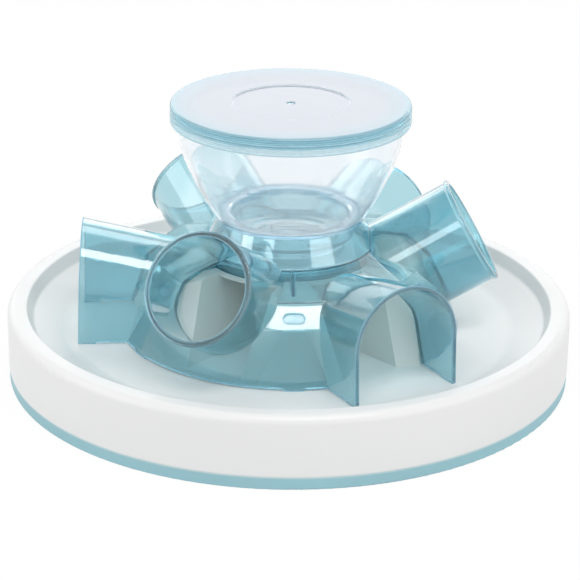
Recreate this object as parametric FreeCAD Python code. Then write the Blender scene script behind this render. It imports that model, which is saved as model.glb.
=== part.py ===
import FreeCAD, Part
import math
import os

os.makedirs("parts", exist_ok=True)

# Cat puzzle feeder. Millimetres, +Z up, origin at the centre of the foot.
# Azimuths are counted from +X towards +Y, and the gap at azimuth 272 faces front.

# Dish: straight outer wall, broad rolled rim, shallow floor, open underneath
dish_radius = 140.0
dish_height = 36.0
dish_wall = 2.4
rim_width = 9.6
rim_round = 4.0
rim_lip_round = 1.2
rim_step_height = 6.4
rim_step_lean = 3.0
floor_height = 23.4
floor_flat_margin = 3.2
floor_blend = 12.0
foot_recess = 2.0

# Stiffening ribs under the dish
rib_thickness = 2.0
rib_foot_height = 14.0
rib_ring_radius = 44.0

# Rubber ring round the foot
ring_height = 6.7
ring_sole = 2.2
ring_set_in = 0.2
ring_inner_lip = 2.2
ring_edge_round = 0.8

# Tunnel ring: a domed shell with six tunnels, arches and tubes in turn
tunnel_wall = 2.0
tunnel_turn = 2.0
tunnel_pairs = 3
skirt_radius = 84.9
shoulder_radius = 76.5
shoulder_height = 50.5
shoulder_round = 4.0
roof_radius = 67.4
roof_step_height = 59.4
roof_edge_radius = 66.4
roof_height = 61.0
throat_radius = 42.0
throat_height = 67.5
collar_radius = 36.4
collar_height = 81.0

# Arched tunnels, open on the dish floor
arch_half_width = 28.3
arch_reach = 104.0
arch_height = 77.5
arch_lean = 2.0
arch_fall = 12.7
arch_root = 46.0

# Round tunnels, tilted up and outwards
tube_radius = 26.7
tube_mouth_reach = 90.7
tube_mouth_height = 72.9
tube_tilt = 29.8
tube_root = 50.0
tube_lip = 0.7
tube_lip_length = 2.2

# Feet of the tunnel ring, between the tunnels and at the ends of the arches
ring_foot_height = 0.9
skirt_foot_length = 10.0
leg_foot_length = 8.5

# Thin ribs under the roof, midway between two tunnels
roof_rib_thickness = 1.2
roof_rib_outer_radius = 60.0
roof_rib_gap = 0.7

# Oval dimple on the shoulder, midway between two tunnels
dimple_length = 10.0
dimple_width = 5.0
dimple_depth = 0.8

# Inner neck of the tunnel ring, which carries the dosing disc
neck_drop = 7.4
neck_lip_width = 1.2
neck_lip_thickness = 1.5

# Food distributor: a hollow star under the tunnel ring
distributor_wall = 2.0
distributor_drop = 8.3
distributor_rim_drop = 6.5
distributor_gap = 0.6
well_radius = 24.0
channel_half_width = 6.0
channel_flare = 11.0
channel_lean = 12.0
mouth_half_width = 14.3
mouth_reach = 74.7
mouth_flare = 20.0
mouth_lean = 30.0
turret_gap = 1.4
gusset_thickness = 1.6
gusset_lift = 0.5
peg_radius = 3.5
peg_ring_radius = 62.0
peg_head = 0.7
peg_head_length = 2.4
peg_gap = 0.2

# Dosing disc: turns in the neck over the slots of the distributor
disc_thickness = 2.4
disc_side_gap = 0.4
disc_lift_gap = 0.3
slot_inner_radius = 9.0
slot_outer_radius = 22.0
slot_angle = 27.0
socket_height = 3.2
socket_wall = 1.8
socket_gap = 0.25
cone_radius = 7.5
cone_height = 6.0
cone_tip_radius = 1.2
key_count = 3
key_width = 6.0
key_height = 2.6
key_gap = 0.3

# Hopper: clear bowl that stands on the collar
hopper_wall = 2.0
bowl_radius = 54.5
bowl_bend_height = 116.0
bowl_bend_round = 46.0
bowl_waist_radius = 44.7
bowl_waist_height = 93.9
bowl_waist_round = 80.0
hopper_top = 136.6
hopper_rim_width = 1.6
hopper_rim_height = 2.4
spigot_radius = 31.3
spigot_rise = 7.5
outlet_radius = 25.0
outlet_funnel_rise = 4.2
outlet_gap = 0.4
seat_overhang = 0.2

# Lid: shallow cap over the hopper
lid_radius = 58.6
lid_wall = 1.8
lid_skirt = 8.7
lid_edge_round = 1.6
lid_plug_depth = 4.5
lid_plug_gap = 0.4
lid_recess_radius = 28.5
lid_recess_depth = 0.6
lid_mark_radius = 2.2
lid_mark_depth = 0.4
lid_groove_count = 3
lid_groove_pitch = 2.0
lid_groove_depth = 0.35
lid_groove_height = 0.7

# Sizes and angles that follow from the sizes above
floor_flat_radius = math.hypot(arch_reach, arch_half_width) + floor_flat_margin
throat_wall_height = throat_height - neck_drop
disc_bottom = throat_wall_height + neck_lip_thickness
disc_top = disc_bottom + disc_thickness
distributor_height = throat_height - distributor_drop
distributor_rim_height = throat_height - distributor_rim_drop
turret_top = disc_bottom - disc_lift_gap
spigot_bottom = disc_top + spigot_rise
outlet_funnel_height = disc_top + outlet_funnel_rise
outlet_bottom = disc_top + outlet_gap
lid_top = hopper_top + lid_wall
tunnel_step = 360.0 / (2 * tunnel_pairs)
tube_azimuths = [tunnel_turn + 2 * tunnel_step * k for k in range(tunnel_pairs)]
arch_azimuths = [azimuth + tunnel_step for azimuth in tube_azimuths]
gap_azimuths = [azimuth + tunnel_step / 2 for azimuth in tube_azimuths + arch_azimuths]

UP = FreeCAD.Vector(0, 0, 1)
CENTRE = FreeCAD.Vector(0, 0, 0)
BELOW = -5.0
REACH = 10.0
under_floor = floor_height + BELOW


def offset_chain(corners, distance):
    """Shift an open chain of (r, z, round) corners sideways, to the right of its direction."""
    directions = []
    for (r1, z1, _), (r2, z2, _) in zip(corners, corners[1:]):
        length = math.hypot(r2 - r1, z2 - z1)
        directions.append(((r2 - r1) / length, (z2 - z1) / length))
    moved = []
    for index, (r, z, rounding) in enumerate(corners):
        before = directions[max(index - 1, 0)]
        after = directions[min(index, len(directions) - 1)]
        turn = before[0] * after[1] - before[1] * after[0]
        scale = distance / (1.0 + before[0] * after[0] + before[1] * after[1])
        shift_r = (before[1] + after[1]) * scale
        shift_z = -(before[0] + after[0]) * scale
        change = distance if turn > 0 else -distance
        moved_round = max(rounding + change, 0.0) if rounding else 0.0
        moved.append((r + shift_r, z + shift_z, moved_round))
    return moved


def rounded_wire(corners):
    """Closed wire in the XZ plane through (r, z, round) corners, with arcs at the rounded ones."""
    entries = []
    count = len(corners)
    for index, (r, z, rounding) in enumerate(corners):
        here = FreeCAD.Vector(r, 0, z)
        if not rounding:
            entries.append((here, None, here))
            continue
        back = FreeCAD.Vector(corners[index - 1][0], 0, corners[index - 1][1]) - here
        ahead_corner = corners[(index + 1) % count]
        ahead = FreeCAD.Vector(ahead_corner[0], 0, ahead_corner[1]) - here
        half_angle = back.getAngle(ahead) / 2
        back.normalize()
        ahead.normalize()
        setback = rounding / math.tan(half_angle)
        bisector = (back + ahead).normalize()
        depth = rounding / math.sin(half_angle) - rounding
        entries.append((here + back * setback, here + bisector * depth, here + ahead * setback))
    edges = []
    for index, (start, middle, end) in enumerate(entries):
        if middle is not None:
            edges.append(Part.Arc(start, middle, end).toShape())
        following = entries[(index + 1) % count][0]
        if end.distanceToPoint(following) > 1e-6:
            edges.append(Part.LineSegment(end, following).toShape())
    return Part.Wire(edges)


def revolved(corners):
    """Solid of revolution about Z from a closed list of (r, z, round) corners."""
    return Part.Face(rounded_wire(corners)).revolve(CENTRE, UP, 360)


def band(inner, outer, low, high):
    """Plain ring between two radii and two heights."""
    return revolved([(inner, low, 0), (outer, low, 0), (outer, high, 0), (inner, high, 0)])


def disc(radius, low, high):
    return Part.makeCylinder(radius, high - low, FreeCAD.Vector(0, 0, low))


def turned(shape, azimuth):
    """Copy of a shape, turned about Z."""
    copy = shape.copy()
    copy.rotate(CENTRE, UP, azimuth)
    return copy


def around(shape, azimuths):
    return [turned(shape, azimuth) for azimuth in azimuths]


def leaning_prism(low_outline, high_outline, low, high):
    """Solid between two closed lists of (x, y) points at two heights."""
    wires = []
    for outline, height in ((low_outline, low), (high_outline, high)):
        points = [FreeCAD.Vector(x, y, height) for x, y in outline]
        wires.append(Part.makePolygon(points + points[:1]))
    return Part.makeLoft(wires, True, True)


def sector(inner, outer, width, low, high):
    """Ring sector centred on +X, width in degrees."""
    piece = Part.makeCylinder(outer, high - low, FreeCAD.Vector(0, 0, low), UP, width)
    piece.rotate(CENTRE, UP, -width / 2)
    return piece.cut(disc(inner, low, high))


def export(shape, name):
    if len(shape.Solids) == 1:
        shape = shape.Solids[0]
    shape.exportStep("parts/" + name + ".step")
    print(name, "solids", len(shape.Solids), "valid", shape.isValid(), "volume", round(shape.Volume))


def dish_chain():
    """Outer line of the dish, from the centre of the floor over the rim to the foot."""
    rim_inner = dish_radius - rim_width
    foot_outer = dish_radius - foot_recess
    return [
        (0, floor_height, 0),
        (floor_flat_radius, floor_height, floor_blend),
        (rim_inner - rim_step_lean, dish_height - rim_step_height, 2 * rim_lip_round),
        (rim_inner, dish_height, rim_lip_round),
        (dish_radius, dish_height, rim_round),
        (dish_radius, ring_height, 0),
        (foot_outer, ring_height, 0),
        (foot_outer, ring_sole, 0),
    ]


def dish_ribs():
    """Radial ribs and a ring rib that stiffen the floor from below."""
    floor_underside = floor_height - dish_wall
    ribs = []
    rib_end = dish_radius - foot_recess - dish_wall / 2
    for azimuth in tube_azimuths + arch_azimuths:
        rib = Part.makeBox(
            rib_end - rib_ring_radius,
            rib_thickness,
            floor_height - rib_foot_height,
            FreeCAD.Vector(rib_ring_radius, -rib_thickness / 2, rib_foot_height),
        )
        ribs.append(turned(rib, azimuth))
    ribs.append(
        band(rib_ring_radius - rib_thickness, rib_ring_radius + 1, rib_foot_height, floor_underside + 1)
    )
    solid_dish = revolved(dish_chain() + [(0, ring_sole, 0)])
    skin = revolved(dish_chain() + list(reversed(offset_chain(dish_chain(), dish_wall / 2))))
    return [rib.common(solid_dish.cut(skin)) for rib in ribs]


def dish():
    outer = dish_chain()
    shell = revolved(outer + list(reversed(offset_chain(outer, dish_wall))))
    shell = shell.fuse(dish_ribs())
    hole = Part.makeCylinder(
        peg_radius + peg_gap, REACH, FreeCAD.Vector(peg_ring_radius, 0, floor_height - REACH / 2)
    )
    return shell.cut(around(hole, gap_azimuths[:tunnel_pairs])).removeSplitter()


def nonslip_ring():
    """Rubber channel that grips the foot of the dish."""
    outer = dish_radius - ring_set_in
    foot_outer = dish_radius - foot_recess
    foot_inner = foot_outer - dish_wall
    inner = foot_inner - ring_inner_lip
    return revolved([
        (inner, 0, ring_edge_round),
        (outer, 0, ring_edge_round),
        (outer, ring_height, 0),
        (foot_outer, ring_height, 0),
        (foot_outer, ring_sole, 0),
        (foot_inner, ring_sole, 0),
        (foot_inner, ring_height, 0),
        (inner, ring_height, ring_edge_round),
    ])


def body_chain(low):
    """Outer line of the tunnel ring's dome, from below its foot to above its collar."""
    lean = (skirt_radius - shoulder_radius) / (shoulder_height - floor_height)
    collar_lean = (throat_radius - collar_radius) / (collar_height - throat_height)
    return [
        (skirt_radius + lean * (floor_height - low), low, 0),
        (shoulder_radius, shoulder_height, shoulder_round),
        (roof_radius, roof_step_height, tunnel_wall / 2),
        (roof_edge_radius, roof_height, tunnel_wall / 4),
        (throat_radius, throat_height, tunnel_wall / 2),
        (collar_radius - collar_lean * REACH, collar_height + REACH, 0),
    ]


def under_chain(chain, top):
    """Closed corners of everything inside a chain, down to the axis."""
    return chain + [(0, top, 0), (0, chain[0][1], 0)]


def body_solid(offset, low, high):
    """Everything inside the dome's outer line moved in by an offset, between two heights."""
    chain = offset_chain(body_chain(low - REACH), -offset)
    top = chain[-1][1]
    slab = disc(dish_radius, low, high)
    return revolved(under_chain(chain, top)).common(slab)


def arch_prism(half_width, outer_extra):
    """Arched prism along +X that falls towards the axis, cut off at the dish floor."""
    lean = math.radians(arch_lean)
    fall = math.tan(math.radians(arch_fall))
    spring = (arch_height - floor_height) / math.cos(lean) - arch_half_width
    start = FreeCAD.Vector(arch_reach, 0, floor_height)
    start += FreeCAD.Vector(outer_extra, 0, outer_extra * fall)
    up = FreeCAD.Vector(-math.sin(lean), 0, math.cos(lean))
    side = FreeCAD.Vector(0, half_width, 0)
    leg = up * (-2 * REACH)
    crown = up * spring
    corners = [start - side + leg, start - side + crown, start + side + crown, start + side + leg]
    top = start + up * (spring + half_width)
    edges = [
        Part.LineSegment(corners[0], corners[1]).toShape(),
        Part.Arc(corners[1], top, corners[2]).toShape(),
        Part.LineSegment(corners[2], corners[3]).toShape(),
        Part.LineSegment(corners[3], corners[0]).toShape(),
    ]
    length = arch_reach + outer_extra - arch_root
    section = Part.Face(Part.Wire(edges))
    return section.extrude(FreeCAD.Vector(-length, 0, -length * fall))


def above_floor(shape):
    return shape.common(disc(dish_radius, floor_height, collar_height + REACH))


def tube_axis():
    tilt = math.radians(tube_tilt)
    return FreeCAD.Vector(math.cos(tilt), 0, math.sin(tilt))


def tube_rod(radius, start_reach, beyond):
    """Tilted cylinder from inside the dome to a distance beyond the tube's mouth."""
    axis = tube_axis()
    mouth = FreeCAD.Vector(tube_mouth_reach, 0, tube_mouth_height)
    length = (tube_mouth_reach - start_reach) / axis.x
    return Part.makeCylinder(radius, length + beyond, mouth - axis * length, axis)


def tube_lip_ring():
    """Rounded bead round the mouth of a tube."""
    axis = tube_axis()
    mouth = FreeCAD.Vector(tube_mouth_reach, 0, tube_mouth_height)
    start = mouth - axis * tube_lip_length
    bead = Part.makeCylinder(tube_radius + tube_lip, tube_lip_length, start, axis)
    return bead.makeFillet(tube_lip, bead.Edges[:1] + bead.Edges[2:])


def dimple():
    """Oval cutter that lies square on the shoulder of the dome."""
    slope = math.atan2(roof_step_height - shoulder_height, shoulder_radius - roof_radius)
    middle_r = (roof_radius + shoulder_radius) / 2
    middle_z = (roof_step_height + shoulder_height) / 2
    straight = dimple_length - dimple_width
    stadium = Part.makeBox(
        dimple_width, straight, REACH, FreeCAD.Vector(-dimple_width / 2, -straight / 2, -dimple_depth)
    )
    for end in (-straight / 2, straight / 2):
        stadium = stadium.fuse(
            Part.makeCylinder(dimple_width / 2, REACH, FreeCAD.Vector(0, end, -dimple_depth))
        )
    stadium.rotate(CENTRE, FreeCAD.Vector(0, 1, 0), 90 - math.degrees(slope))
    stadium.translate(FreeCAD.Vector(middle_r, 0, middle_z))
    return stadium


def neck():
    """Short cylinder inside the throat, with the lip that the dosing disc rests on."""
    inner = throat_radius - tunnel_wall
    lip = inner - neck_lip_width
    roof_slope = (throat_height - roof_height) / (roof_edge_radius - throat_radius)
    buried = throat_height - tunnel_wall / 2 - roof_slope
    return revolved([
        (lip, throat_wall_height, 0),
        (throat_radius, throat_wall_height, 0),
        (throat_radius, buried, 0),
        (inner, buried, 0),
        (inner, disc_bottom, 0),
        (lip, disc_bottom, 0),
    ])


def feet():
    """Blocks round the feet that the tunnel ring stands on."""
    skirt_foot = Part.makeBox(
        REACH,
        skirt_foot_length,
        REACH,
        FreeCAD.Vector(skirt_radius - REACH / 2, -skirt_foot_length / 2, under_floor),
    )
    leg_foot = Part.makeBox(
        leg_foot_length + REACH,
        4 * arch_half_width,
        REACH,
        FreeCAD.Vector(arch_reach - leg_foot_length, -2 * arch_half_width, under_floor),
    )
    return around(skirt_foot, gap_azimuths) + around(leg_foot, arch_azimuths)


def roof_ribs():
    """Thin radial webs between the neck and the roof."""
    inner = throat_radius - tunnel_wall / 2
    web = Part.makeBox(
        roof_rib_outer_radius - inner,
        roof_rib_thickness,
        throat_height - throat_wall_height,
        FreeCAD.Vector(inner, -roof_rib_thickness / 2, throat_wall_height),
    )
    web = web.common(body_solid(tunnel_wall / 2, floor_height, throat_height))
    return around(web, gap_azimuths)


def tunnel_ring():
    shell = body_solid(0, floor_height, collar_height)
    arches = around(above_floor(arch_prism(arch_half_width, 0)), arch_azimuths)
    tube = tube_rod(tube_radius, tube_root, 0).fuse(tube_lip_ring())
    tubes = around(tube, tube_azimuths)
    shell = shell.fuse(arches + tubes)
    core = body_solid(0, throat_wall_height, collar_height).common(
        disc(throat_radius, throat_wall_height, collar_height)
    )
    arch_bore = arch_prism(arch_half_width - tunnel_wall, REACH)
    tube_bore = tube_rod(tube_radius - tunnel_wall, tube_root, REACH)
    bores = around(arch_bore.cut(core), arch_azimuths) + around(tube_bore.cut(core), tube_azimuths)
    inside = body_solid(tunnel_wall, BELOW, collar_height + REACH)
    shell = shell.cut([inside] + bores)
    shell = shell.fuse([neck()] + roof_ribs())
    under_foot = disc(dish_radius, under_floor, floor_height + ring_foot_height).cut(feet())
    shell = shell.cut(under_foot)
    return shell.cut(around(dimple(), gap_azimuths)).removeSplitter()


def channels(widen):
    """Channels from the axis that flare to the six tunnels, with sides that lean outwards."""
    flare = math.tan(math.radians(channel_flare))
    lean = math.tan(math.radians(channel_lean))
    neck_end = mouth_reach - (mouth_half_width - channel_half_width) / flare
    outlines = []
    for z in (under_floor, throat_height):
        narrow = channel_half_width + widen + (z - floor_height) * lean
        wide = narrow + (dish_radius - neck_end) * flare
        outlines.append([
            (0, -narrow),
            (neck_end, -narrow),
            (dish_radius, -wide),
            (dish_radius, wide),
            (neck_end, narrow),
            (0, narrow),
        ])
    channel = leaning_prism(outlines[0], outlines[1], under_floor, throat_height)
    return around(channel, tube_azimuths + arch_azimuths)


def mouth_faces(inset):
    """Cutters in front of the channels' mouths: each side opens outwards and leans back."""
    flare = math.tan(math.radians(mouth_flare))
    lean = math.tan(math.radians(mouth_lean))
    shift = inset * math.hypot(math.hypot(1, flare), lean)
    halves = []
    for side in (-skirt_radius, skirt_radius):
        outlines = []
        for z in (under_floor, collar_height):
            middle = mouth_reach - shift - mouth_half_width * flare - (z - floor_height) * lean
            edge = middle + skirt_radius * flare
            outlines.append([(middle, 0), (edge, side), (2 * dish_radius, side), (2 * dish_radius, 0)])
        halves.append(leaning_prism(outlines[0], outlines[1], under_floor, collar_height))
    share = sector(channel_half_width, 2 * dish_radius, tunnel_step, under_floor, collar_height)
    face = halves[0].fuse(halves[1]).common(share)
    return around(face, tube_azimuths + arch_azimuths)


def arch_foot(inset, low, high):
    """The part of the star that stands inside an arched tunnel, up to a height."""
    return arch_prism(arch_half_width - inset, 0).common(disc(dish_radius, low, high))


def slots():
    """Six sector slots that let food fall into the well."""
    slot = sector(slot_inner_radius, slot_outer_radius, slot_angle, BELOW, dish_radius)
    return around(slot, tube_azimuths + arch_azimuths)


def peg():
    """Barbed peg that holds the distributor in the dish floor."""
    floor_underside = floor_height - dish_wall
    roof = distributor_height - distributor_wall / 2
    stem = disc(peg_radius, floor_underside, roof)
    head = Part.makeCone(
        peg_radius - peg_head,
        peg_radius + peg_head,
        peg_head_length,
        FreeCAD.Vector(0, 0, floor_underside - peg_head_length),
    )
    shape = stem.fuse(head)
    shape.translate(FreeCAD.Vector(peg_ring_radius, 0, 0))
    return shape


def gusset():
    """Upright web along +X that stiffens an arm of the star from inside."""
    return Part.makeBox(
        skirt_radius - well_radius,
        gusset_thickness,
        distributor_rim_height - floor_height - gusset_lift,
        FreeCAD.Vector(well_radius, -gusset_thickness / 2, floor_height + gusset_lift),
    )


def rib_slots(widen):
    """Six radial slots in the star's top, for the ribs under the roof of the tunnel ring."""
    inner = throat_radius - tunnel_wall
    width = roof_rib_thickness + 2 * (roof_rib_gap + widen)
    slot = Part.makeBox(
        roof_rib_outer_radius + roof_rib_gap + widen - inner,
        width,
        REACH,
        FreeCAD.Vector(inner, -width / 2, distributor_height - widen),
    )
    return around(slot, gap_azimuths)


def food_distributor():
    wall = distributor_wall
    clear = tunnel_wall + distributor_gap
    ceiling = distributor_height - wall
    rim_inner = throat_radius + distributor_gap
    turret_radius = throat_radius - tunnel_wall - neck_lip_width - turret_gap
    turret_ceiling = turret_top - wall
    turret_cap = disc(turret_radius, turret_ceiling, turret_top)
    rim_ring = band(rim_inner, rim_inner + wall, distributor_height, distributor_rim_height)
    star = body_solid(clear, floor_height, distributor_rim_height)
    star = star.fuse(around(arch_foot(clear, floor_height, distributor_height), arch_azimuths))
    star = star.cut(mouth_faces(0))
    star = star.cut(disc(rim_inner, distributor_height, dish_radius))
    star = star.fuse(disc(turret_radius, ceiling, turret_top))
    star = star.cut([shape.cut([turret_cap, rim_ring]) for shape in channels(0)] + rib_slots(0))
    star = star.cut(disc(well_radius, BELOW, turret_ceiling))
    hollow = body_solid(clear + wall, under_floor, distributor_rim_height - wall)
    hollow = hollow.fuse(around(arch_foot(clear + wall, under_floor, ceiling), arch_azimuths))
    hollow = hollow.cut(mouth_faces(wall))
    hollow = hollow.cut([disc(rim_inner + wall, ceiling, dish_radius)] + rib_slots(wall))
    hollow = hollow.fuse(disc(turret_radius - wall, under_floor, turret_ceiling))
    hollow = hollow.cut(channels(wall))
    hollow = hollow.cut(disc(well_radius + wall, BELOW, turret_top))
    star = star.cut(hollow)
    star = star.cut(slots())
    star = star.fuse([hollow.common(shape) for shape in around(gusset(), gap_azimuths)])
    return star.fuse(around(peg(), gap_azimuths[:tunnel_pairs])).removeSplitter()


def keys(inner, width, height, low):
    """Small blocks across the socket that turn the disc with the hopper's outlet."""
    outer = outlet_radius + socket_gap + socket_wall / 2
    block = Part.makeBox(outer - inner, width, height, FreeCAD.Vector(inner, -width / 2, low))
    return around(block, [tunnel_turn + 360.0 / key_count * k for k in range(key_count)])


def dosing_disc():
    radius = throat_radius - tunnel_wall - disc_side_gap
    socket_inner = outlet_radius + socket_gap
    plate = disc(radius, disc_bottom, disc_top).cut(slots())
    socket = band(socket_inner, socket_inner + socket_wall, disc_bottom, disc_top + socket_height)
    cone = Part.makeCone(cone_radius, cone_tip_radius, cone_height, FreeCAD.Vector(0, 0, disc_top))
    key_inner = outlet_radius - hopper_wall
    lugs = keys(key_inner, key_width, key_height + disc_thickness / 2, disc_top - disc_thickness / 2)
    return plate.fuse([socket, cone] + lugs).removeSplitter()


def hopper():
    seat = collar_radius + seat_overhang
    outer = [
        (bowl_radius, hopper_top, 0),
        (bowl_radius, bowl_bend_height, bowl_bend_round),
        (bowl_waist_radius, bowl_waist_height, bowl_waist_round),
        (seat, collar_height, 0),
        (spigot_radius, collar_height, 0),
        (spigot_radius, spigot_bottom, hopper_wall / 2),
        (outlet_radius, outlet_funnel_height, hopper_wall / 2),
        (outlet_radius, outlet_bottom, 0),
    ]
    bowl = revolved(outer + list(reversed(offset_chain(outer, hopper_wall))))
    rim = revolved([
        (bowl_radius - hopper_wall / 2, hopper_top, 0),
        (bowl_radius + hopper_rim_width, hopper_top, 0),
        (bowl_radius + hopper_rim_width, hopper_top - hopper_rim_height, 0),
        (bowl_radius, hopper_top - hopper_rim_height - hopper_rim_width, 0),
        (bowl_radius - hopper_wall / 2, hopper_top - hopper_rim_height - hopper_rim_width, 0),
    ])
    notch_inner = outlet_radius - 2 * hopper_wall
    notches = keys(notch_inner, key_width + 2 * key_gap, key_height + outlet_gap, disc_top)
    return bowl.fuse(rim).cut(notches).removeSplitter()


def lid():
    skirt_inner = lid_radius - lid_wall
    plug_outer = bowl_radius - hopper_wall - lid_plug_gap
    plug_inner = plug_outer - lid_wall
    cap = revolved([
        (0, lid_top, 0),
        (lid_radius, lid_top, lid_edge_round),
        (lid_radius, lid_top - lid_skirt, 0),
        (skirt_inner, lid_top - lid_skirt, 0),
        (skirt_inner, hopper_top, 0),
        (plug_outer, hopper_top, 0),
        (plug_outer, hopper_top - lid_plug_depth, 0),
        (plug_inner, hopper_top - lid_plug_depth, 0),
        (plug_inner, hopper_top, lid_edge_round),
        (0, hopper_top, 0),
    ])
    cuts = [
        disc(lid_recess_radius, lid_top - lid_recess_depth, lid_top + REACH),
        disc(lid_mark_radius, lid_top - lid_recess_depth - lid_mark_depth, lid_top + REACH),
    ]
    for index in range(lid_groove_count):
        low = lid_top - lid_skirt + lid_groove_pitch * (index + 1) - lid_groove_height
        cuts.append(band(lid_radius - lid_groove_depth, lid_radius + REACH, low, low + lid_groove_height))
    return cap.cut(cuts).removeSplitter()


export(dish(), "dish")
export(nonslip_ring(), "nonslip_ring")
export(tunnel_ring(), "tunnel_ring")
export(food_distributor(), "food_distributor")
export(dosing_disc(), "dosing_disc")
export(hopper(), "hopper")
export(lid(), "lid")
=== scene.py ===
import math

import bpy
from mathutils import Matrix, Vector

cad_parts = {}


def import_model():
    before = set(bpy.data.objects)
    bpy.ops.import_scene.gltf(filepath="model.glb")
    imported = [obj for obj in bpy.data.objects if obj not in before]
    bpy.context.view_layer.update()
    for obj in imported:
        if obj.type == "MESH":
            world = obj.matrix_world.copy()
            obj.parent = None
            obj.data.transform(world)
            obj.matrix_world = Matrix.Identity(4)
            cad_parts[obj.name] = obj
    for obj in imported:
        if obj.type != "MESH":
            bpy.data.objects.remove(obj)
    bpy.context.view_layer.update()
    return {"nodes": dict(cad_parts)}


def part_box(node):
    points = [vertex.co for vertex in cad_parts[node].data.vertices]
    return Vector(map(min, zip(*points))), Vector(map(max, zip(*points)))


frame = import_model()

bpy.context.scene.view_settings.view_transform = "Standard"

# Camera, in metres and degrees, solved on the circles of the dish
picture_width = 580
focal_pixels = 2219.73
centre_column = 289.0
centre_row = 253.11
camera_elevation = math.radians(21.142)
camera_distance = 1.10215
aim_height = 0.060
camera_roll = math.radians(0.614)
sensor_width = 36
farthest = 20

# Floor and background
floor_half_size = 4.0
floor_colour = (0.9, 0.9, 0.9, 1)
floor_whiteness = 0.95
room_colour = (1, 1, 1, 1)
room_light = 0.37
room_seen = 1.0

# Lamps: name, azimuth, elevation, distance, width and height as seen, radiance, lean
lamps = [
    ("lamp_top", 290, 65, 1.6, 34, 16, 6.9, 0),
    ("lamp_left", 243, 31, 1.7, 14, 28, 3.1, -32),
    ("lamp_ceiling", 90, 52, 1.6, 34, 20, 2, 0),
    ("lamp_far_left", 205, 17.5, 1.7, 16, 10, 4, 0),
    ("lamp_right", 317.5, 20, 1.7, 31, 14, 2.7, 0),
    ("lamp_back", 92, 20, 2.2, 75, 22, 1.3, 0),
    ("lamp_side_left", 180, 27, 2.0, 44, 34, 1.4, 0),
    ("lamp_side_right", 356, 29, 2.0, 34, 22, 1.8, 0),
]

# Colours of the solid plastics and the rubber
white_colour = (0.785, 0.79, 0.785, 1)
# The food distributor is the dish's white plastic, painted darker: painted shade for its place inside
# the tunnel ring.
shaded_white_colour = (0.70, 0.72, 0.70, 1)
rubber_colour = (0.30, 0.535, 0.60, 1)
rubber_highlight_colour = (0.62, 0.73, 0.74, 1)
rubber_shading = (0.97, 0.97, 0.97, 1)

# Colours of the see-through plastics: of a surface, of the material in depth, of light let through
# for the lamps, and a painted glow on the end face of a wall for the light caught in the wall.
# Density is for one metre of material.
turquoise_tint = (0.48, 0.77, 0.85, 1)
turquoise_look = {
    "tint": turquoise_tint,
    "absorption": (0.24, 0.55, 0.57, 1),
    "density": 110,
    "shade": (0.44, 0.44, 0.43, 1),
    "edge": (0.30, 0.56, 0.70, 1),
    "edge_depth": 0.0016,
    "clearness": 0.93,
    "gloss": 1.0,
    "ripple": 0.12,
    "roughness": (0.02, 0.06),
}
lid_tint = (0.52, 0.74, 0.80, 1)
lid_clearness = 0.85
lid_look = {
    "tint": lid_tint,
    "absorption": (0.17, 0.70, 0.77, 1),
    "density": 120,
    "shade": (0.90, 0.93, 0.94, 1),
    "edge": (0.62, 0.76, 0.82, 1),
    "edge_depth": 0.0008,
    "clearness": lid_clearness,
    "gloss": 0.0,
    "ripple": 0.10,
    "roughness": (0.02, 0.05),
}
hopper_tint = (0.97, 0.975, 0.985, 1)
hopper_look = {
    "tint": hopper_tint,
    "absorption": (0.88, 0.94, 1.0, 1),
    "density": 25,
    "shade": (0.97, 0.97, 0.98, 1),
    "edge": (0.40, 0.55, 0.64, 1),
    "edge_depth": 0.0010,
    "clearness": 0.88,
    "gloss": 0.0,
    "ripple": 0.08,
    "roughness": (0.01, 0.04),
}

# Changes of colour over a piece: pairs of a share of the way and a colour.
# The tunnel ring is paler on its roof, between two radii in metres: painted light on the roof, which
# faces the lamps above.
roof_inner = 0.042
roof_outer = 0.074
roof_painted_light_tint = (0.62, 0.86, 0.92, 1)
roof_stops = ((0.0, turquoise_tint), (0.12, roof_painted_light_tint), (0.75, roof_painted_light_tint), (1.0, turquoise_tint))

# The rubber ring is paler along its top edge, by height: a painted highlight where the light catches
# the edge
rubber_stops = ((0.0, rubber_colour), (0.80, rubber_colour), (0.94, rubber_highlight_colour))

# The lid's side has a paler hem, by height. Its plate, by radius, has a painted highlight as a light
# ring on the step round the recess.
lid_hem_tint = (0.82, 0.87, 0.89, 1)
lid_plate_tint = (0.405, 0.415, 0.475, 1)
lid_step_highlight_tint = (0.90, 0.92, 0.95, 1)
lid_brim_tint = (0.37, 0.455, 0.52, 1)
lid_rim_tint = (0.28, 0.50, 0.58, 1)
plate_clearness = 0.25
lid_side_stops = ((0.0, lid_hem_tint), (0.30, lid_hem_tint), (0.42, lid_tint))
lid_plate_stops = (
    (0.0, lid_plate_tint),
    (0.480, lid_plate_tint),
    (0.483, lid_step_highlight_tint),
    (0.489, lid_step_highlight_tint),
    (0.492, lid_plate_tint),
    (0.75, lid_plate_tint),
    (0.93, lid_brim_tint),
    (1.0, lid_rim_tint),
)
lid_share_stops = ((0.86, (0, 0, 0, 1)), (0.91, (1, 1, 1, 1)))
lid_clearness_stops = (
    (0.0, (lid_clearness, lid_clearness, lid_clearness, 1)),
    (0.88, (lid_clearness, lid_clearness, lid_clearness, 1)),
    (0.92, (plate_clearness, plate_clearness, plate_clearness, 1)),
)

# The hopper is painted darker where it sits on the collar, between two heights in metres: painted
# shade in the gap between the parts
spigot_bottom = 0.071
seat_top = 0.0835
spigot_tint = (1.0, 1.0, 1.0, 1)
seat_shadow_tint = (0.50, 0.67, 0.76, 1)
seat_stops = (
    (0.0, spigot_tint),
    (0.70, spigot_tint),
    (0.76, seat_shadow_tint),
    (0.86, seat_shadow_tint),
    (0.98, hopper_tint),
)

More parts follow.
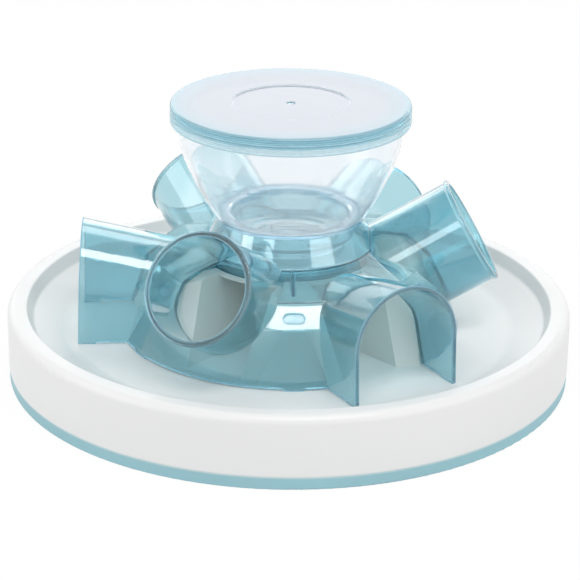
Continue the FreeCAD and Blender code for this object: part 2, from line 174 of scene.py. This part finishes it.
# Unevenness of a colour: cells to a metre, detail, share of change
white_tone = (9, 2, 0.008)
rubber_tone = (14, 3, 0.03)
tone_starts = 0.3
tone_ends = 0.7

# Unevenness of the roughness: cells to a metre, detail, lowest, highest
white_roughness = (60, 3, 0.30, 0.42)
rubber_roughness = (90, 3, 0.42, 0.58)
clear_smears = (40, 3)

# Relief of a surface: cells to a metre, detail, strength, height in metres
white_ripple = (22, 1, 0.10, 0.0006)
white_grain = (2600, 2, 0.05, 0.00004)
rubber_grain = (1800, 3, 0.18, 0.00006)
clear_ripple_cells = 30
clear_ripple_detail = 1
clear_ripple_height = 0.0005
clear_grain = (1500, 2, 0.02, 0.00003)

# Walls of see-through plastic: light caught in them, and their edges
plastic_ior = 1.49
most_mirrorings = 1.5
edge_radius = 0.0009
edge_samples = 6
edge_starts = 0.85
edge_full = 0.45
edge_share = 0.75
noise_roughness = 0.5
halfway = 0.5


def camera():
    """The photograph's camera: it looks along +Y and down, with a small pan, pitch and roll."""
    sine = math.sin(camera_elevation)
    cosine = math.cos(camera_elevation)
    place = Vector((0, -camera_distance * cosine, aim_height + camera_distance * sine))
    right = Vector((1, 0, 0))
    ahead = Vector((0, cosine, -sine))
    up = Vector((0, sine, cosine))
    pitch = math.atan((centre_row - picture_width / 2) / focal_pixels)
    ahead, up = turned_pair(ahead, up, pitch)
    pan = math.atan((centre_column - picture_width / 2) / focal_pixels)
    right, ahead = turned_pair(right, ahead, pan)
    right, up = turned_pair(right, up, camera_roll)
    data = bpy.data.cameras.new("camera")
    data.sensor_width = sensor_width
    data.lens = focal_pixels / picture_width * sensor_width
    data.clip_end = farthest
    item = bpy.data.objects.new("camera", data)
    turn = Matrix((right, up, -ahead)).transposed().to_4x4()
    item.matrix_world = Matrix.Translation(place) @ turn
    bpy.context.scene.collection.objects.link(item)
    bpy.context.scene.camera = item


def turned_pair(first, second, angle):
    """Two square directions, turned from the first towards the second."""
    cosine = math.cos(angle)
    sine = math.sin(angle)
    return cosine * first + sine * second, cosine * second - sine * first


def empty_material(name):
    """A node material with only its output."""
    material = bpy.data.materials.new(name)
    material.use_nodes = True
    tree = material.node_tree
    tree.nodes.clear()
    output = tree.nodes.new("ShaderNodeOutputMaterial")
    return material, tree, output


def noise(tree, cells, detail):
    """Noise over the surface, in object coordinates."""
    where = tree.nodes.new("ShaderNodeTexCoord")
    node = tree.nodes.new("ShaderNodeTexNoise")
    node.inputs["Scale"].default_value = cells
    node.inputs["Detail"].default_value = detail
    node.inputs["Roughness"].default_value = noise_roughness
    tree.links.new(where.outputs["Object"], node.inputs["Vector"])
    return node.outputs["Fac"]


def spread(tree, value, low, high):
    """Maps a value from 0 to 1 to the range low to high."""
    node = tree.nodes.new("ShaderNodeMapRange")
    node.inputs["To Min"].default_value = low
    node.inputs["To Max"].default_value = high
    tree.links.new(value, node.inputs["Value"])
    return node.outputs["Result"]


def uneven(tree, shape):
    """A number that varies over the surface."""
    cells, detail, low, high = shape
    return spread(tree, noise(tree, cells, detail), low, high)


def relief(tree, shape, below=None):
    """Fine relief of the surface, on top of another where one is given."""
    cells, detail, strength, height = shape
    node = tree.nodes.new("ShaderNodeBump")
    node.inputs["Strength"].default_value = strength
    node.inputs["Distance"].default_value = height
    tree.links.new(noise(tree, cells, detail), node.inputs["Height"])
    if below is not None:
        tree.links.new(below, node.inputs["Normal"])
    return node.outputs["Normal"]


def tone(tree, shape, colour):
    """A colour that varies a little round the given one."""
    cells, detail, change = shape
    ramp = tree.nodes.new("ShaderNodeValToRGB")
    ramp.color_ramp.elements[0].color = [c * (1 - change) for c in colour[:3]] + [1]
    ramp.color_ramp.elements[1].color = [min(1, c * (1 + change)) for c in colour[:3]] + [1]
    ramp.color_ramp.elements[0].position = tone_starts
    ramp.color_ramp.elements[1].position = tone_ends
    tree.links.new(noise(tree, cells, detail), ramp.inputs["Fac"])
    return ramp.outputs["Color"]


def ramp_between(tree, value, start, end, stops):
    """A colour that changes with a value: stops are pairs of a share of the way and a colour."""
    scale = tree.nodes.new("ShaderNodeMapRange")
    scale.inputs["From Min"].default_value = start
    scale.inputs["From Max"].default_value = end
    tree.links.new(value, scale.inputs["Value"])
    ramp = tree.nodes.new("ShaderNodeValToRGB")
    marks = ramp.color_ramp.elements
    while len(marks) < len(stops):
        marks.new(halfway)
    for mark, (share, colour) in zip(marks, stops):
        mark.position = share
        mark.color = colour
    tree.links.new(scale.outputs["Result"], ramp.inputs["Fac"])
    return ramp.outputs["Color"]


def by_height(tree, bottom, top, stops):
    """A colour that changes with height."""
    where = tree.nodes.new("ShaderNodeTexCoord")
    parts = tree.nodes.new("ShaderNodeSeparateXYZ")
    tree.links.new(where.outputs["Object"], parts.inputs["Vector"])
    return ramp_between(tree, parts.outputs["Z"], bottom, top, stops)


def by_radius(tree, inner, outer, stops):
    """A colour that changes with the distance from the upright axis."""
    where = tree.nodes.new("ShaderNodeTexCoord")
    flat = tree.nodes.new("ShaderNodeVectorMath")
    flat.operation = "MULTIPLY"
    flat.inputs[1].default_value = (1, 1, 0)
    tree.links.new(where.outputs["Object"], flat.inputs[0])
    size = tree.nodes.new("ShaderNodeVectorMath")
    size.operation = "LENGTH"
    tree.links.new(flat.outputs["Vector"], size.inputs[0])
    return ramp_between(tree, size.outputs["Value"], inner, outer, stops)


def white_plastic(name, colour):
    """Glossy white moulded plastic with a faint moulding ripple and fine grain."""
    material, tree, output = empty_material(name)
    shader = tree.nodes.new("ShaderNodeBsdfPrincipled")
    shader.inputs["IOR"].default_value = plastic_ior
    tree.links.new(tone(tree, white_tone, colour), shader.inputs["Base Color"])
    tree.links.new(uneven(tree, white_roughness), shader.inputs["Roughness"])
    ripple = relief(tree, white_ripple)
    tree.links.new(relief(tree, white_grain, ripple), shader.inputs["Normal"])
    tree.links.new(shader.outputs["BSDF"], output.inputs["Surface"])
    return material


def ring_rubber():
    """Soft matt rubber with a fine grain, and a painted highlight along its top edge."""
    material, tree, output = empty_material("ring_rubber")
    shader = tree.nodes.new("ShaderNodeBsdfPrincipled")
    low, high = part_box("nonslip_ring")
    mix = tree.nodes.new("ShaderNodeMixRGB")
    mix.blend_type = "MULTIPLY"
    mix.inputs["Fac"].default_value = 1.0
    tree.links.new(by_height(tree, low[2], high[2], rubber_stops), mix.inputs[1])
    tree.links.new(tone(tree, rubber_tone, rubber_shading), mix.inputs[2])
    tree.links.new(mix.outputs["Color"], shader.inputs["Base Color"])
    tree.links.new(uneven(tree, rubber_roughness), shader.inputs["Roughness"])
    tree.links.new(relief(tree, rubber_grain), shader.inputs["Normal"])
    tree.links.new(shader.outputs["BSDF"], output.inputs["Surface"])
    return material


def caught(tree):
    """1 for light that has been mirrored more than once, as it is inside a cut edge."""
    path = tree.nodes.new("ShaderNodeLightPath")
    node = tree.nodes.new("ShaderNodeMath")
    node.operation = "GREATER_THAN"
    node.inputs[1].default_value = most_mirrorings
    tree.links.new(path.outputs["Glossy Depth"], node.inputs[0])
    return node.outputs["Value"]


def blend(tree, share, first, second):
    """Mixes two shaders."""
    mix = tree.nodes.new("ShaderNodeMixShader")
    tree.links.new(share, mix.inputs["Fac"])
    tree.links.new(first, mix.inputs[1])
    tree.links.new(second, mix.inputs[2])
    return mix.outputs["Shader"]


def clear(tree, colour):
    """Lets light straight through, coloured."""
    node = tree.nodes.new("ShaderNodeBsdfTransparent")
    node.inputs["Color"].default_value = colour
    return node.outputs["BSDF"]


def rounded(tree):
    """Shades sharp edges as if they were rounded, as moulded ones are."""
    node = tree.nodes.new("ShaderNodeBevel")
    node.samples = edge_samples
    node.inputs["Radius"].default_value = edge_radius
    return node.outputs["Normal"]


def cut_edge(tree, depth):
    """How much a place is the end face of a wall, where the light caught in the wall comes out."""
    node = tree.nodes.new("ShaderNodeAmbientOcclusion")
    node.samples = edge_samples
    node.inside = True
    node.only_local = True
    node.inputs["Distance"].default_value = depth
    scale = tree.nodes.new("ShaderNodeMapRange")
    scale.inputs["From Min"].default_value = edge_starts
    scale.inputs["From Max"].default_value = edge_full
    scale.inputs["To Max"].default_value = edge_share
    tree.links.new(node.outputs["AO"], scale.inputs["Value"])
    return scale.outputs["Result"]


def see_through(name, look):
    """Transparent plastic: tinted where light enters and leaves, and deeper where it is thick.

    Lamps shine through it, coloured at each surface.
    """
    material, tree, output = empty_material(name)
    shader = tree.nodes.new("ShaderNodeBsdfPrincipled")
    shader.inputs["Base Color"].default_value = look["tint"]
    shader.inputs["IOR"].default_value = plastic_ior
    shader.inputs["Transmission Weight"].default_value = look["clearness"]
    tree.links.new(uneven(tree, clear_smears + look["roughness"]), shader.inputs["Roughness"])
    clear_ripple = (clear_ripple_cells, clear_ripple_detail, look["ripple"], clear_ripple_height)
    ripple = relief(tree, clear_ripple, rounded(tree))
    grain = relief(tree, clear_grain, ripple)
    tree.links.new(grain, shader.inputs["Normal"])
    shader.inputs["Coat Weight"].default_value = look["gloss"]
    tree.links.new(grain, shader.inputs["Coat Normal"])
    seen = blend(tree, caught(tree), shader.outputs["BSDF"], clear(tree, look["tint"]))
    # Painted light: the end face of a wall is a lit diffuse colour, for the light caught in the wall.
    glow = tree.nodes.new("ShaderNodeBsdfDiffuse")
    glow.inputs["Color"].default_value = look["edge"]
    seen = blend(tree, cut_edge(tree, look["edge_depth"]), seen, glow.outputs["BSDF"])
    shadow = tree.nodes.new("ShaderNodeLightPath").outputs["Is Shadow Ray"]
    tree.links.new(blend(tree, shadow, seen, clear(tree, look["shade"])), output.inputs["Surface"])
    volume = tree.nodes.new("ShaderNodeVolumeAbsorption")
    volume.inputs["Color"].default_value = look["absorption"]
    volume.inputs["Density"].default_value = look["density"]
    tree.links.new(volume.outputs["Volume"], output.inputs["Volume"])
    return material, tree, shader


def turquoise_plastic():
    """The tunnel ring's plastic, with painted light that makes the roof paler."""
    material, tree, shader = see_through("turquoise_plastic", turquoise_look)
    colour = by_radius(tree, roof_inner, roof_outer, roof_stops)
    tree.links.new(colour, shader.inputs["Base Color"])
    return material


def lid_plastic():
    """The lid's plastic: clear in the side, milky in the plate."""
    material, tree, shader = see_through("pale_turquoise_plastic", lid_look)
    lid_low, lid_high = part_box("lid")
    side = by_height(tree, lid_low[2], lid_high[2], lid_side_stops)
    plate = by_radius(tree, 0, lid_high[0], lid_plate_stops)
    share = by_height(tree, lid_low[2], lid_high[2], lid_share_stops)
    mix = tree.nodes.new("ShaderNodeMixRGB")
    tree.links.new(share, mix.inputs["Fac"])
    tree.links.new(side, mix.inputs[1])
    tree.links.new(plate, mix.inputs[2])
    tree.links.new(mix.outputs["Color"], shader.inputs["Base Color"])
    clearness = by_height(tree, lid_low[2], lid_high[2], lid_clearness_stops)
    tree.links.new(clearness, shader.inputs["Transmission Weight"])
    return material


def hopper_plastic():
    """The hopper's clear plastic, painted darker at its seat as painted shade."""
    material, tree, shader = see_through("clear_plastic", hopper_look)
    colour = by_height(tree, spigot_bottom, seat_top, seat_stops)
    tree.links.new(colour, shader.inputs["Base Color"])
    return material


def dress(node, material):
    """Gives a CAD node its material."""
    item = frame["nodes"][node]
    for place in item.material_slots:
        place.material = material


def seen_directly(tree):
    """1 for rays from the camera and for mirrored and refracted ones, 0 for rays of diffuse light."""
    path = tree.nodes.new("ShaderNodeLightPath")
    total = path.outputs["Is Camera Ray"]
    for kind in ("Is Glossy Ray", "Is Transmission Ray"):
        add = tree.nodes.new("ShaderNodeMath")
        add.operation = "MAXIMUM"
        tree.links.new(total, add.inputs[0])
        tree.links.new(path.outputs[kind], add.inputs[1])
        total = add.outputs["Value"]
    return total


def floor():
    """A pale floor that reads as white and keeps a faint shadow of the object."""
    material, tree, output = empty_material("studio_floor")
    diffuse = tree.nodes.new("ShaderNodeBsdfDiffuse")
    diffuse.inputs["Color"].default_value = floor_colour
    glow = tree.nodes.new("ShaderNodeEmission")
    share = tree.nodes.new("ShaderNodeMath")
    share.operation = "MULTIPLY"
    share.inputs[1].default_value = floor_whiteness
    tree.links.new(seen_directly(tree), share.inputs[0])
    mix = blend(tree, share.outputs["Value"], diffuse.outputs["BSDF"], glow.outputs["Emission"])
    tree.links.new(mix, output.inputs["Surface"])
    mesh = bpy.data.meshes.new("studio_floor")
    half = floor_half_size
    corners = [(-half, -half, 0), (half, -half, 0), (half, half, 0), (-half, half, 0)]
    mesh.from_pydata(corners, [], [(0, 1, 2, 3)])
    mesh.materials.append(material)
    item = bpy.data.objects.new("studio_floor", mesh)
    bpy.context.scene.collection.objects.link(item)


def world():
    """Even pale light from all round, white to the eye."""
    room = bpy.data.worlds.new("room")
    bpy.context.scene.world = room
    room.use_nodes = True
    tree = room.node_tree
    background = tree.nodes["Background"]
    background.inputs["Color"].default_value = room_colour
    strength = spread(tree, seen_directly(tree), room_light, room_seen)
    tree.links.new(strength, background.inputs["Strength"])


def softbox(name, azimuth, elevation, distance, wide, high, radiance, lean):
    """A rectangular lamp that faces the object, with all its angles in degrees."""
    width = 2 * distance * math.tan(math.radians(wide / 2))
    height = 2 * distance * math.tan(math.radians(high / 2))
    data = bpy.data.lights.new(name, "AREA")
    data.shape = "RECTANGLE"
    data.size = width
    data.size_y = height
    data.energy = radiance * math.pi * width * height
    item = bpy.data.objects.new(name, data)
    turn = math.radians(azimuth)
    rise = math.radians(elevation)
    way = Vector((math.cos(rise) * math.cos(turn), math.cos(rise) * math.sin(turn), math.sin(rise)))
    item.location = way * distance + Vector((0, 0, aim_height))
    facing = way.to_track_quat("Z", "Y").to_matrix() @ Matrix.Rotation(math.radians(lean), 3, "Z")
    item.rotation_euler = facing.to_euler()
    bpy.context.scene.collection.objects.link(item)


camera()
floor()
world()
for lamp in lamps:
    softbox(*lamp)

white = white_plastic("white_plastic", white_colour)
dress("dish", white)
dress("dosing_disc", white)
# The distributor's darker white is painted shade, not a different plastic.
dress("food_distributor", white_plastic("shaded_white_plastic", shaded_white_colour))
dress("nonslip_ring", ring_rubber())
dress("tunnel_ring", turquoise_plastic())
dress("lid", lid_plastic())
dress("hopper", hopper_plastic())
